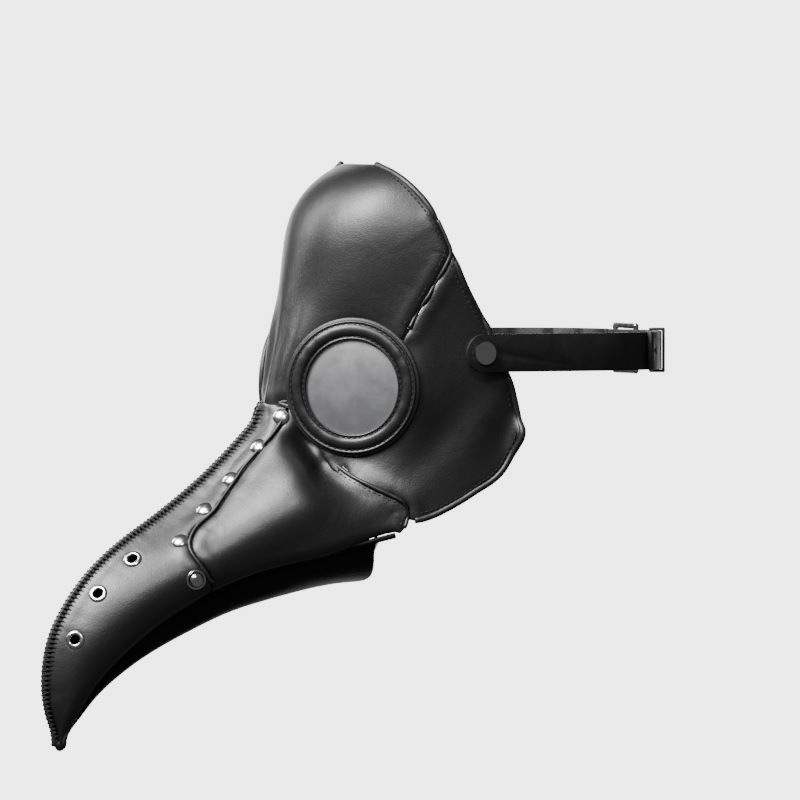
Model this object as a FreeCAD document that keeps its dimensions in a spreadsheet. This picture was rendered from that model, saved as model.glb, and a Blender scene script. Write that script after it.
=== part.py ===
import FreeCAD, Part
import math
import os

# Plague doctor mask: a stitched leather bird-beak mask with round eyepieces and a buckled strap.
#
# Row frame, millimetres: +Z up, -Y the way the wearer looks (the beak), +X the wearer's left.
# The origin is inside the wearer's head, on the middle plane, at the height of the two lenses.
# The leather skins are free-form, so their outlines are
# points chosen by hand on the side view (y, z). What is turned, punched or stamped is made from
# primitives bound to the sheet.
V = FreeCAD.Vector
doc = FreeCAD.newDocument("PlagueDoctorMask")
sheet = doc.addObject("Spreadsheet::Sheet", "Dimensions")

DIMENSIONS = {
    "LeatherThick": 1.8, "SeamGap": 0.3, "RidgeGap": 0.15, "JoinLap": 2.6,
    "EyeX": 37.0, "EyeY": -68.4, "EyeZ": 0.0, "EyeTurn": 41.0, "EyeOpening": 27.0,
    "LensRadius": 29.0, "LensThick": 1.4, "LensRise": 2.6, "LensDome": 25.0,
    "BackingInner": 29.4, "BackingOuter": 36.4, "BackingThick": 1.6,
    "BezelInner": 25.4, "BezelOuter": 34.6, "BezelThick": 2.8,
    "RetainerInner": 25.0, "RetainerOuter": 33.0, "RetainerThick": 1.2,
    "EyeletBore": 2.5, "EyeletBarrel": 3.1, "EyeletFlange": 5.0, "EyeletLength": 3.4, "FlangeThick": 0.6,
    "CapRadius": 4.5, "HardwareSeat": 0.2, "CapRise": 1.2, "PostRadius": 1.5, "PostLength": 2.8,
    "StudRing": 5.3, "StudRingThick": 0.8, "StudDome": 3.6, "StudRise": 2.2,
    "StrapWidth": 20.0, "StrapThick": 2.2, "PivotY": -12.0, "PivotZ": 18.0,
    "PivotPost": 2.4, "PivotHole": 2.48, "PivotCap": 6.0,
    "BuckleWire": 3.0, "BuckleInside": 21.0, "BuckleLength": 24.0, "ProngWire": 2.4,
    "KeeperWidth": 9.0, "KeeperAngle": 64.0, "KeeperThick": 1.4, "KeeperPlay": 0.4,
    "StrapStandoff": 5.4, "StrapCorner": 55.0, "CornerY": 55.0, "BarX": 13.0,
    "SlotHeight": 3.4, "PunchRadius": 1.6, "SpacerGap": 0.3, "PivotCapThick": 1.4, "PivotShankIn": 6.5,
    "PivotWasherThick": 1.0, "StudPost": 1.6, "EyeRoomGap": 0.32, "StackGap": 0.23,
    "LacingWidth": 4.4, "LacingThick": 0.8, "LacingLift": 1.1, "JoinLift": 0.12, "BridgeDip": 2.6,
}
for line_number, (alias, value) in enumerate(DIMENSIONS.items(), start=1):
    sheet.set("A%d" % line_number, alias)
    sheet.set("B%d" % line_number, str(value))
    sheet.setAlias("B%d" % line_number, alias)
doc.recompute()


def size(alias):
    return float(getattr(sheet, alias))


# ---------------------------------------------------------------- outlines, hand-chosen points
# Beak stations from the tip back to the bridge: ridge (y, z); side seam (y, z, half width);
# keel (y, z); half width at the crest; where the crest lies from ridge to seam; roof angle.
BEAK = [
    ((-222.8, -187.0), (-219.9, -186.2, 1.6), (-218.9, -185.6), 2.2, 0.72, 50),
    ((-223.6, -178.6), (-218.9, -178.8, 3.0), (-216.4, -178.6), 3.7, 0.74, 50),
    ((-226.8, -168.6), (-215.0, -169.8, 5.2), (-210.8, -170.2), 6.5, 0.76, 50),
    ((-228.6, -156.6), (-210.0, -159.4, 7.6), (-202.7, -161.2), 9.4, 0.78, 50),
    ((-227.8, -142.4), (-202.0, -148.2, 10.4), (-192.4, -152.3), 12.8, 0.79, 50),
    ((-223.6, -127.4), (-191.6, -137.2, 13.4), (-180.0, -143.7), 16.4, 0.80, 50),
    ((-214.0, -111.0), (-179.5, -126.4, 16.6), (-165.9, -135.4), 20.2, 0.80, 50),
    ((-201.6, -96.4), (-165.8, -116.6, 19.8), (-151.3, -128.1), 24.0, 0.80, 50),
    ((-185.6, -83.0), (-151.4, -108.0, 23.2), (-136.4, -121.6), 27.9, 0.80, 51),
    ((-168.0, -71.3), (-136.8, -101.0, 27.3), (-121.3, -116.0), 32.2, 0.79, 52),
    ((-150.8, -59.1), (-122.8, -95.5, 32.2), (-106.6, -111.6), 36.8, 0.77, 54),
    ((-135.2, -46.7), (-109.6, -91.5, 37.6), (-92.5, -108.1), 41.6, 0.74, 57),
    ((-121.5, -34.1), (-97.0, -88.6, 43.2), (-79.5, -105.4), 46.4, 0.71, 60),
]
# The keel and the side seam run on past the last station, under the cheek.
REAR_SEAM = [((-85.6, -85.6, 47.8), (-68.0, -103.6)), ((-75.0, -82.7, 51.6), (-57.6, -102.6)),
             ((-64.0, -79.7, 55.4), (-48.4, -102.1))]
# Where beak and face meet, from the bridge, under the eyepiece, round the cheek's rear end.
JOIN = [(-105.0, -7.4), (-97.5, -9.6), (-91.0, -13.0), (-86.5, -18.5), (-83.0, -25.0), (-80.3, -31.5),
        (-77.6, -38.5), (-72.5, -46.2), (-65.2, -51.4), (-57.0, -55.9), (-50.0, -60.2), (-47.4, -67.2),
        (-52.4, -77.0)]
# Face levels from the crown down: z, front y, first and second handle (x, y), x at the rear edge.
FACE = [
    (118, -44.0, (26, -44.0), (44, -26), 47), (112, -58.0, (30, -58.0), (52, -36), 56),
    (104, -69.0, (33, -69.0), (59, -42), 63), (92, -78.5, (34, -78.5), (64, -47), 69),
    (70, -85.5, (32, -85.5), (67, -51), 74), (48, -89.5, (27, -89.0), (67, -53), 75),
    (26, -93.5, (20, -91.0), (65, -55), 75.4), (8, -97.4, (15, -94.0), (64, -57), 75.4),
    (-7, -100.4, (14, -95.5), (63, -58), 75.4), (-24, -102.0, (15, -96.8), (63, -60), 75.4),
    (-40, -104.0, (18, -98.5), (63, -65), 75), (-55, -104.0, (24, -99.5), (63, -72), 74),
    (-70, -104.0, (28, -99.5), (65, -74), 73), (-85, -104.0, (30, -99.5), (66, -74), 71),
]
FACE_REAR_Y = 20.0
RIM = [(-47.0, 117.0), (-33.0, 92.0), (-22.0, 62.0), (-8.0, 34.0), (4.0, 6.0), (9.0, -20.0), (2.0, -43.0),
       (-16.0, -57.0), (-34.0, -67.0), (-47.4, -72.0)]
STRIP_EDGE = [(-147.5, -106.0), (-149.0, -99.5), (-153.2, -93.6), (-157.5, -86.8), (-157.0, -80.4),
              (-152.0, -73.5), (-142.7, -66.2), (-133.5, -56.0), (-122.8, -43.6), (-108.0, -28.3),
              (-96.8, -15.3)]
BROW_SEAM = [(-46.0, 31.0), (-39.0, 44.0), (-31.5, 58.0), (-22.0, 78.0), (-10.0, 104.0)]
RIVETS = [(-100.0, -15.8), (-113.0, -31.0), (-129.0, -48.0), (-145.0, -63.7), (-161.0, -80.0)]
EYELETS = [(-184.4, -89.3), (-203.8, -107.2), (-217.3, -131.0)]
STUD = (-157.0, -100.0)


# ---------------------------------------------------------------- curves and skins
def bezier(p0, p1, p2, p3, t):
    s = 1.0 - t
    weights = (s * s * s, 3 * s * s * t, 3 * s * t * t, t * t * t)
    return tuple(sum(w * p[k] for w, p in zip(weights, (p0, p1, p2, p3))) for k in range(len(p0)))


def beak_row(station):
    (ry, rz), (sy, sz, seam_x), _, crest_x, crest_at, roof = station
    length = math.hypot(sy - ry, sz - rz)
    along = ((sy - ry) / length, (sz - rz) / length)
    crest_a = crest_at * length
    reach = 0.42 * math.hypot(crest_a, crest_x)
    roof = math.radians(roof)
    upper = [(0, 0), (reach * math.cos(roof), reach * math.sin(roof)), (crest_a - 0.8 * reach, crest_x),
             (crest_a, crest_x)]
    tuck = 0.5 * (crest_x - seam_x) + 0.15 * (length - crest_a)
    lower = [(crest_a, crest_x), (crest_a + 0.6 * (length - crest_a), crest_x),
             (length - 0.2 * tuck, seam_x + tuck), (length, seam_x)]
    flat = [bezier(*upper, t / 8.0) for t in range(9)] + [bezier(*lower, t / 4.0) for t in range(1, 5)]
    return [V(x, ry + along[0] * a, rz + along[1] * a) for a, x in flat]


def face_level(z):
    """The face level at height z, blended between the two nearest stated ones."""
    for high, low in zip(FACE, FACE[1:]):
        if low[0] <= z <= high[0]:
            k = (z - low[0]) / (high[0] - low[0])
            front = low[1] + (high[1] - low[1]) * k
            rear = low[4] + (high[4] - low[4]) * k
            first = [b + (a - b) * k for a, b in zip(high[2], low[2])]
            second = [b + (a - b) * k for a, b in zip(high[3], low[3])]
            return front, first, second, rear
    raise ValueError("height %s is off the face" % z)


def face_point(z, t):
    front, first, second, rear = face_level(z)
    x, y = bezier((0.0, front), first, second, (rear, FACE_REAR_Y), t)
    return V(x, y, z)


def face_at(y, z):
    """The face's outer point at that place of the side view."""
    low, high = 0.0, 1.0
    for _ in range(40):
        middle = (low + high) / 2
        if face_point(z, middle).y < y:
            low = middle
        else:
            high = middle
    return face_point(z, low)


TURN = math.radians(size("EyeTurn"))
EYE = V(size("EyeX"), size("EyeY"), size("EyeZ"))
EYE_NORMAL = V(math.cos(TURN), -math.sin(TURN), 0.0)


def seat_eye(point):
    """Draws the skin on to the eyepiece's plane near the eye."""
    off = point - EYE
    depth = off.dot(EYE_NORMAL)
    radius = (off - EYE_NORMAL * depth).Length
    near, far = size("BackingOuter") + 0.5, size("BackingOuter") + 13.0
    k = min(1.0, max(0.0, (far - radius) / (far - near))) * min(1.0, max(0.0, point.x / 10.0))
    return point - EYE_NORMAL * (depth * k * k * (3 - 2 * k))


def surface(rows):
    made = Part.BSplineSurface()
    made.interpolate(rows)
    return made


def offset_rows(rows, thicknesses):
    """The rows moved out by the thickness of each row, along the skin's own normals."""
    count, across = len(rows), len(rows[0])
    made = []
    for i in range(count):
        line = []
        for j in range(across):
            along = rows[min(i + 1, count - 1)][j] - rows[max(i - 1, 0)][j]
            cross = rows[i][min(j + 1, across - 1)] - rows[i][max(j - 1, 0)]
            normal = cross.cross(along)
            normal.normalize()
            line.append(rows[i][j] + normal * thicknesses[i])
        made.append(line)
    return made


def skin(inner, outer):
    """A closed solid between two surfaces that have the same layout."""
    faces = []
    bounds = []
    for rows in (outer, inner):
        made = surface(rows)
        faces.append(made.toShape())
        u0, u1, v0, v1 = made.bounds()
        bounds.append([made.uIso(u0).toShape(), made.uIso(u1).toShape(), made.vIso(v0).toShape(),
                       made.vIso(v1).toShape()])
    faces += [Part.makeRuledSurface(a, b) for a, b in zip(*bounds)]
    shell = Part.makeShell(faces)
    shell.sewShape()
    solid = Part.makeSolid(shell)
    if solid.Volume < 0:
        solid.reverse()
    return solid


def smooth(points, steps=60):
    """A smooth line through side-view points, as many short steps."""
    curve = Part.BSplineCurve()
    curve.interpolate([V(0, y, z) for y, z in points])
    return [(p.y, p.z) for p in curve.toShape().discretize(steps)]


def side_prism(points, x_low=-1.0, x_high=130.0):
    """The closed side-view outline swept across the left half."""
    wire = Part.makePolygon([V(x_low, y, z) for y, z in points + points[:1]])
    return Part.Face(wire).extrude(V(x_high - x_low, 0, 0))


def mirrored(shape):
    return shape.mirror(V(0, 0, 0), V(1, 0, 0))


def largest(shape):
    return max(shape.Solids, key=lambda solid: solid.Volume)


def node(label, shape):
    made = doc.addObject("Part::Feature", label)
    made.Label = label
    made.Shape = shape
    nodes.append(made)
    return made


nodes = []
THICK = size("LeatherThick")
GAP = size("SeamGap")
RIDGE_GAP = size("RidgeGap")
LAP = size("JoinLap")

# ---------------------------------------------------------------- the leather skins, left half


def on_face(y, z, lift):
    """A point that far outside the face skin's inner surface, at that place of the side view."""
    here = seat_eye(face_at(y, z))
    if here.x < 1.0:
        return V(0, here.y - lift, here.z)
    behind = seat_eye(face_at(y + 1.0, z))
    above = seat_eye(face_at(y + 0.5, z + 1.0))
    return here + (behind - here).cross(above - here).normalize() * lift


join_row = [on_face(y, z, THICK + size("JoinLift")) for y, z in JOIN]
beak_rows = [beak_row(station) for station in BEAK]
middle_row = []
for step, (ahead, behind) in enumerate(zip(beak_rows[-1], join_row)):
    dip = size("BridgeDip") * max(0.0, 1.0 - step / 6.0)
    middle_row.append((ahead + behind) * 0.5 + V(0, dip, -dip * 0.3))
side_rows = []
for row in beak_rows + [middle_row, join_row]:
    side_rows.append([seat_eye(point) + V(RIDGE_GAP, 0, 0) for point in row])
side_thick = [min(THICK, 0.35 * row[8].x) for row in side_rows]
side_outer = offset_rows(side_rows, side_thick)
side_skin = skin(side_rows, side_outer)

FACE_STEPS = 16
face_rows = []
for level in FACE:
    half = [seat_eye(face_point(level[0], t / FACE_STEPS)) for t in range(FACE_STEPS + 1)]
    face_rows.append([V(-point.x, point.y, point.z) for point in half[:0:-1]] + half)
face_outer = offset_rows(face_rows[::-1], [THICK] * len(FACE))[::-1]
face_skin = skin(face_rows, face_outer)

strip_line = smooth(STRIP_EDGE)
brow_line = smooth(BROW_SEAM)
rim_line = smooth(RIM)

# Side-view areas of the panels: the beak ahead of the strip's edge, the cheek behind it, the
# forehead ahead of the brow seam, and the temple between that seam, the cheek and the rim.
strip_foot = (STRIP_EDGE[0][0], -140.0)
strip_head = (STRIP_EDGE[-1][0], 10.0)
beak_area = side_prism([strip_foot] + strip_line + [strip_head, (-260.0, 10.0), (-260.0, -200.0),
                                                    (STRIP_EDGE[0][0], -200.0)])
cheek_area = side_prism([(y + GAP, z) for y, z in [strip_foot] + strip_line + [strip_head]]
                        + [(20.0, 10.0), (20.0, -140.0)])
brow_start = [(-150.0, -33.0), (-78.0, -27.0), (-62.0, -2.0)]
ahead_of_brow = side_prism(brow_start + brow_line + [(-10.0, 135.0), (-150.0, 135.0)], -130.0)
behind_brow = side_prism([(y + GAP, z - GAP) for y, z in brow_start + brow_line]
                         + [(40.0, 104.0), (40.0, -90.0), (-150.0, -90.0)], RIDGE_GAP)
within_rim = side_prism(rim_line + [(-47.4, -150.0), (-250.0, -150.0), (-250.0, 117.0)], -130.0)
above_join = side_prism([(y - LAP, z - LAP) for y, z in smooth(JOIN[:-1])]
                        + [(60.0, -69.6), (60.0, 130.0), (-150.0, 130.0), (-150.0, JOIN[0][1] - LAP)], -130.0)

eye_hole = Part.makeCylinder(size("EyeOpening"), 60, EYE - EYE_NORMAL * 30, EYE_NORMAL)
temple_area = within_rim.common(above_join).common(behind_brow)
left_panels = {
    "beak_panel": largest(side_skin.common(beak_area)),
    "cheek_panel": largest(side_skin.common(cheek_area)),
    "temple_panel": largest(face_skin.common(temple_area).cut(eye_hole)),
}
forehead = face_skin.common(within_rim).common(above_join).common(ahead_of_brow)
forehead = largest(forehead.cut(eye_hole).cut(mirrored(eye_hole)))

# The face skin's lap is trimmed back where the side skin turns away over it.
left_panels["temple_panel"] = largest(left_panels["temple_panel"].cut(side_skin))
forehead = largest(forehead.cut(side_skin).cut(mirrored(side_skin)))

# The underside: one gusset from seam to seam, hanging to the keel, from the tip to the throat.
under_left = [V(row[-1].x - 0.4, row[-1].y, row[-1].z) for row in beak_rows]
keel = [V(0, *station[2]) for station in BEAK]
for (y, z, x), (keel_y, keel_z) in REAR_SEAM:
    under_left.append(V(x - 0.4, y, z))
    keel.append(V(0, keel_y, keel_z))
under_rows = []
for edge, low in zip(under_left, keel):
    belly = V(edge.x * 0.62, low.y + (edge.y - low.y) * 0.45, low.z + (edge.z - low.z) * 0.30)
    half = [edge, belly, low]
    under_rows.append(half + [V(-point.x, point.y, point.z) for point in (belly, edge)])
under_thick = [min(THICK, 0.35 * edge.x) for edge in under_left]
underside = skin(under_rows, offset_rows(under_rows, under_thick))

# The lacing band that covers the ridge seam.
lacing_rows = []
for station, row, outer in zip(BEAK, side_rows, side_outer):
    roof = math.radians(station[5])
    lift = outer[0] - row[0]
    half_width = min(size("LacingWidth") / 2, 0.5 * station[3])
    down = (row[1] - row[0]).normalize()
    top = V(0, outer[0].y, outer[0].z) + V(0, lift.y, lift.z).normalize() * size("LacingLift")
    edge = V(half_width, top.y, top.z) + V(0, down.y, down.z) * (half_width * 0.8)
    lacing_rows.append([edge, V(half_width * 0.5, (top.y * 2 + edge.y) / 3, (top.z * 2 + edge.z) / 3), top,
                        V(-half_width * 0.5, (top.y * 2 + edge.y) / 3, (top.z * 2 + edge.z) / 3),
                        V(-edge.x, edge.y, edge.z)])
lacing = skin(lacing_rows, offset_rows(lacing_rows, [size("LacingThick")] * len(lacing_rows)))
underside = largest(underside.cut(side_skin).cut(mirrored(side_skin)))
lacing = largest(lacing.cut(side_skin).cut(mirrored(side_skin)))

# ---------------------------------------------------------------- turned and stamped hardware


def bound(kind, name, **expressions):
    """A primitive of the document with its sizes bound to the sheet."""
    made = doc.addObject(kind, name)
    for key, text in expressions.items():
        made.setExpression(key.replace("_", "."), text)
    return made


def cut(name, base, tool):
    made = doc.addObject("Part::Cut", name)
    made.Base = base
    made.Tool = tool
    return made


def fuse(name, shapes):
    made = doc.addObject("Part::MultiFuse", name)
    made.Shapes = shapes
    return made


def ring(name, inner, outer, thick):
    return cut(name, bound("Part::Cylinder", name + "_outer", Radius=outer, Height=thick),
               bound("Part::Cylinder", name + "_inner", Radius=inner, Height=thick))


def dome(name, radius, rise, base):
    """A shallow cap: the top of a ball whose chord has that radius, standing at the base height."""
    ball = "(%s^2 + %s^2) / (2 * %s)" % (radius, rise, rise)
    made = bound("Part::Sphere", name, Radius=ball, Angle1="90 deg - asin(%s / (%s))" % (radius, ball))
    made.setExpression("Placement.Base.z", "%s + %s - %s" % (base, rise, ball))
    return made


S = "Dimensions."
lens_outer = dome("lens_front", S + "LensDome", S + "LensRise", S + "LensThick")
lens_disc = bound("Part::Cylinder", "lens_disc", Radius=S + "LensRadius", Height=S + "LensThick")
lens_inner = dome("lens_back", "(%sLensDome - 1.5)" % S, "(%sLensRise - 0.3)" % S, "0")
lens_blank = fuse("lens_blank", [lens_outer, lens_disc])
lens_master = cut("lens_master", lens_blank, lens_inner)
backing_master = ring("backing_master", S + "BackingInner", S + "BackingOuter", S + "BackingThick")
bezel_master = ring("bezel_master", S + "BezelInner", S + "BezelOuter", S + "BezelThick")
retainer_master = ring("retainer_master", S + "RetainerInner", S + "RetainerOuter", S + "RetainerThick")
cap_master = fuse("cap_master", [
    dome("cap_dome", S + "CapRadius", S + "CapRise", S + "FlangeThick"),
    bound("Part::Cylinder", "cap_disc", Radius=S + "CapRadius", Height=S + "FlangeThick"),
])
post_master = bound("Part::Cylinder", "cap_post", Radius=S + "PostRadius", Height=S + "PostLength")
washer_master = ring("washer_master", S + "PostRadius", S + "CapRadius", S + "FlangeThick")
eyelet_blank = fuse("eyelet_blank", [
    bound("Part::Cylinder", "eyelet_barrel", Radius=S + "EyeletBarrel", Height=S + "EyeletLength"),
    bound("Part::Cylinder", "eyelet_flange", Radius=S + "EyeletFlange", Height=S + "FlangeThick"),
])
eyelet_bore = bound("Part::Cylinder", "eyelet_bore", Radius=S + "EyeletBore", Height=S + "EyeletLength")
eyelet_master = cut("eyelet_master", eyelet_blank, eyelet_bore)
eyelet_washer_master = ring("eyelet_washer_master", S + "EyeletBarrel", S + "EyeletFlange", S + "FlangeThick")
stud_ring_master = ring("stud_ring_master", S + "PostRadius", S + "StudRing", S + "StudRingThick")
stud_master = fuse("stud_master", [
    dome("stud_dome", S + "StudDome", S + "StudRise", S + "FlangeThick"),
    bound("Part::Cylinder", "stud_disc", Radius=S + "StudDome", Height=S + "FlangeThick"),
])
doc.recompute()

side_surface = surface(side_outer)


def on_side(y, z):
    """The side skin's outer point at that place of the side view, and its outward normal."""
    line = Part.makeLine(V(0.5, y, z), V(90, y, z))
    point = side_surface.toShape().distToShape(line)[1][0][0]
    u, v = side_surface.parameter(point)
    normal = side_surface.normal(u, v)
    return point, (normal if normal.x > 0 else normal * -1)


def placed(shape, point, normal, along=0.0):
    """The shape's Z axis turned on to the normal and its origin moved to the point."""
    made = shape.copy()
    made.Placement = FreeCAD.Placement(point + normal * along, FreeCAD.Rotation(V(0, 0, 1), normal))
    return made


SEAT = size("HardwareSeat")
ROOM_GAP = size("EyeRoomGap")
flange = size("FlangeThick")
seats = []
left_groups = {"rivet_caps": [], "rivet_backs": [], "eyelets": [], "eyelet_washers": [], "corner_studs": [],
               "stud_rings": []}
eyelet_places = [on_side(y, z) for y, z in EYELETS]
for y, z in RIVETS:
    point, normal = on_side(y, z)
    post = placed(post_master.Shape, point, normal, -size("PostLength") - SEAT)
    left_groups["rivet_caps"].append(placed(cap_master.Shape, point, normal, -SEAT).fuse(post))
    left_groups["rivet_backs"].append(placed(washer_master.Shape, point, normal, -SEAT - size("PostLength")))
    seats.append((point, normal, size("CapRadius"), size("PostRadius")))
for point, normal in eyelet_places:
    left_groups["eyelets"].append(placed(eyelet_master.Shape, point + normal * (flange - SEAT), normal * -1))
    left_groups["eyelet_washers"].append(placed(eyelet_washer_master.Shape, point, normal,
                                                flange - SEAT - size("EyeletLength")))
    seats.append((point, normal, size("EyeletFlange"), size("EyeletBarrel")))
point, normal = on_side(*STUD)
left_groups["stud_rings"].append(placed(stud_ring_master.Shape, point, normal, -SEAT))
stud_cap = placed(stud_master.Shape, point, normal, size("StudRingThick") - SEAT)
stud_post = placed(post_master.Shape, point, normal, -size("StudPost") - SEAT)
left_groups["corner_studs"].append(stud_cap.fuse(stud_post))
seats.append((point, normal, size("StudRing"), size("PostRadius")))
# Each seat is let into the leather, and no skin reaches into the room of the washer behind it.
washer_rooms = []
for point, normal, radius, hole in seats:
    seat = Part.makeCylinder(radius, 4.0, point - normal * SEAT, normal)
    washer_foot = point - normal * (SEAT + size("PostLength") + ROOM_GAP)
    washer_rooms.append(Part.makeCylinder(radius + ROOM_GAP, flange + 2 * ROOM_GAP, washer_foot, normal))
    bore = Part.makeCylinder(hole, 12.0, point - normal * 6.0, normal)
    for name in ("beak_panel", "cheek_panel"):
        left_panels[name] = largest(left_panels[name].cut(seat.fuse(bore)))

# Skins lie flat under the backing ring and over the retainer.
SKIM = 0.2
eye_room_foot = EYE + EYE_NORMAL * (THICK + SKIM)
eye_back_foot = EYE - EYE_NORMAL * SKIM
eye_room = Part.makeCylinder(size("BackingOuter") + ROOM_GAP, 20, eye_room_foot, EYE_NORMAL)
eye_back_room = Part.makeCylinder(size("RetainerOuter") + ROOM_GAP, 12, eye_back_foot, EYE_NORMAL * -1)
both_rooms = eye_room.fuse(eye_back_room)
for name, shape in left_panels.items():
    left_panels[name] = largest(shape.cut(both_rooms))
    for washer_room in washer_rooms:
        left_panels[name] = largest(left_panels[name].cut(washer_room))
forehead = forehead.cut(both_rooms).cut(mirrored(both_rooms))
for washer_room in washer_rooms[:2]:
    forehead = forehead.cut(washer_room).cut(mirrored(washer_room))
forehead = largest(forehead)
for name, shape in left_panels.items():
    node(name + "_left", shape)
    node(name + "_right", mirrored(shape))
node("forehead_panel", forehead)
node("beak_underside", underside)
node("ridge_lacing", lacing)
for name, group in left_groups.items():
    node(name + "_left", Part.makeCompound(group))
    node(name + "_right", Part.makeCompound([mirrored(shape) for shape in group]))

# The eyepiece is a stack on the skin: retainer inside, then lens and backing, then the padded bezel.
STACK_GAP = size("StackGap")
eye_stack = {
    "lens_retainer": (retainer_master, -size("RetainerThick") - STACK_GAP),
    "lens": (lens_master, THICK + STACK_GAP),
    "eye_backing": (backing_master, THICK + STACK_GAP),
    "eye_bezel": (bezel_master, THICK + 2 * STACK_GAP + size("BackingThick")),
}
for name, (master, along) in eye_stack.items():
    shape = placed(master.Shape, EYE, EYE_NORMAL, along)
    node(name + "_left", shape)
    node(name + "_right", mirrored(shape))

# ---------------------------------------------------------------- the strap round the head
pivot_line = Part.makeLine(V(40, size("PivotY"), size("PivotZ")), V(120, size("PivotY"), size("PivotZ")))
pivot_x = surface(face_outer).toShape().distToShape(pivot_line)[1][0][0].x
PIVOT = V(pivot_x, size("PivotY"), size("PivotZ"))
STANDOFF = size("StrapStandoff")
strap_thick = size("StrapThick")
side_x = pivot_x + STANDOFF + strap_thick / 2
corner = size("StrapCorner")
corner_centre = V(side_x - corner, size("CornerY"), 0)
back_y = corner_centre.y + corner
bar = V(size("BarX"), back_y, 0)
strap_low = size("PivotZ") - size("StrapWidth") / 2


def arc_points(centre, radius, first, last, count=14):
    step = (last - first) / (count - 1)
    angles = [math.radians(first + step * k) for k in range(count)]
    return [V(centre.x + radius * math.cos(a), centre.y + radius * math.sin(a), 0) for a in angles]


def strap(path, thick, width, low):
    """A flat strap on edge: its plan centreline made into a band of that thickness and height."""
    sides = [[], []]
    for k, point in enumerate(path):
        way = path[min(k + 1, len(path) - 1)] - path[max(k - 1, 0)]
        across = V(-way.y, way.x, 0).normalize() * (thick / 2)
        sides[0].append(point + across)
        sides[1].append(point - across)
    edges = []
    for side in sides:
        curve = Part.BSplineCurve()
        curve.interpolate(side)
        edges.append(curve.toShape())
    edges += [Part.makeLine(sides[0][0], sides[1][0]), Part.makeLine(sides[0][-1], sides[1][-1])]
    face = Part.Face(Part.Wire(Part.__sortEdges__(edges)))
    face.translate(V(0, 0, low))
    return face.extrude(V(0, 0, width))


def rounded_tab(shape, x):
    """Rounds the strap's front end about the pivot."""
    reach = size("StrapWidth")
    box_corner = V(x - reach / 2, size("PivotY") - reach, size("PivotZ") - reach)
    box = Part.makeBox(reach, reach, reach * 2, box_corner)
    disc = Part.makeCylinder(reach / 2, reach * 2, V(x - reach, size("PivotY"), size("PivotZ")), V(1, 0, 0))
    hole = Part.makeCylinder(size("PivotHole"), 30, V(x - 15, size("PivotY"), size("PivotZ")), V(1, 0, 0))
    return shape.cut(box.cut(disc)).cut(hole)


side_run = [V(side_x, size("PivotY") - 10 + 12 * k, 0) for k in range(6)]
left_path = side_run + arc_points(corner_centre, corner, 0, 90) + [V(corner_centre.x - 6, back_y, 0), bar]
strap_left = rounded_tab(strap(left_path, strap_thick, size("StrapWidth"), strap_low), side_x)
loop_inner = size("BuckleWire") / 2 + 0.3
loop = Part.makeCylinder(loop_inner + strap_thick, size("StrapWidth"), bar + V(0, 0, strap_low))
loop_hole = Part.makeCylinder(loop_inner, size("StrapWidth"), bar + V(0, 0, strap_low))
slot_low = size("PivotZ") - size("SlotHeight") / 2
prong_slot = Part.makeBox(9, 12, size("SlotHeight"), bar + V(-5, -6, slot_low))
strap_left = largest(strap_left.fuse(loop).cut(loop_hole).cut(prong_slot))
node("strap_left", strap_left)

right_path = [V(-point.x, point.y, 0) for point in side_run + arc_points(corner_centre, corner, 0, 90)]
front_x = bar.x - size("BuckleLength")
tail_radius = corner + strap_thick + size("KeeperPlay")
# The tail dips under the frame's front bar, rises over the prong's bar and lies on the other strap.
tail_steps = [(front_x - 6, -2.4), (front_x + 1, -3.2), (front_x + 8, -1.4), (bar.x - 7, 3.6), (bar.x, 5.8),
              (bar.x + 7, 4.2)]
right_path += [V(x, back_y + out, 0) for x, out in tail_steps]
right_path += arc_points(corner_centre, tail_radius, 88, 38)
strap_right = rounded_tab(strap(right_path, strap_thick, size("StrapWidth"), strap_low), -side_x)
hole_slot = Part.makeBox(21.5, 14, size("SlotHeight"), bar + V(-18, -4, slot_low))
strap_right = strap_right.cut(hole_slot)
for angle in (44, 56, 68):
    way = V(math.cos(math.radians(angle)), math.sin(math.radians(angle)), 0)
    punch_start = corner_centre + way * (tail_radius - 1.4) + V(0, 0, size("PivotZ"))
    punch = Part.makeCylinder(size("PunchRadius"), 6, punch_start, way)
    strap_right = strap_right.cut(punch)
node("strap_right", largest(strap_right))

wire = size("BuckleWire") / 2
half_inside = size("BuckleInside") / 2 + wire
posts = [bar + V(-run, 0, size("PivotZ") + rise)
         for run, rise in ((0, -half_inside), (0, half_inside), (size("BuckleLength"), half_inside),
                           (size("BuckleLength"), -half_inside))]
frame_solids = []
for first, second in zip(posts, posts[1:] + posts[:1]):
    frame_solids.append(Part.makeCylinder(wire, (second - first).Length, first, second - first))
    frame_solids.append(Part.makeSphere(wire, first))
node("buckle_frame", frame_solids[0].multiFuse(frame_solids[1:]).removeSplitter())

prong_wire = size("ProngWire")
ring_inner = wire + 0.06
mid_z = size("PivotZ")
prong_ring = Part.makeCylinder(ring_inner + prong_wire, prong_wire, bar + V(0, 0, mid_z - prong_wire / 2))
prong_hole = Part.makeCylinder(ring_inner, prong_wire, bar + V(0, 0, mid_z - prong_wire / 2))
shaft_y = wire + 0.1 + prong_wire / 2
shaft = Part.makeCylinder(prong_wire / 2, size("BuckleLength") + 1.2, bar + V(-1.5, shaft_y + 0.1, mid_z),
                          V(-1, 0, 0))
node("buckle_prong", prong_ring.fuse(shaft).cut(prong_hole))

keeper_half = math.degrees(size("KeeperWidth") / 2 / corner)
PLAY = size("KeeperPlay")
inner_r = corner - strap_thick / 2 - PLAY
outer_r = tail_radius + strap_thick / 2 + PLAY
keeper_wall = size("KeeperThick")
reach_z = size("StrapWidth") / 2 + PLAY


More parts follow.
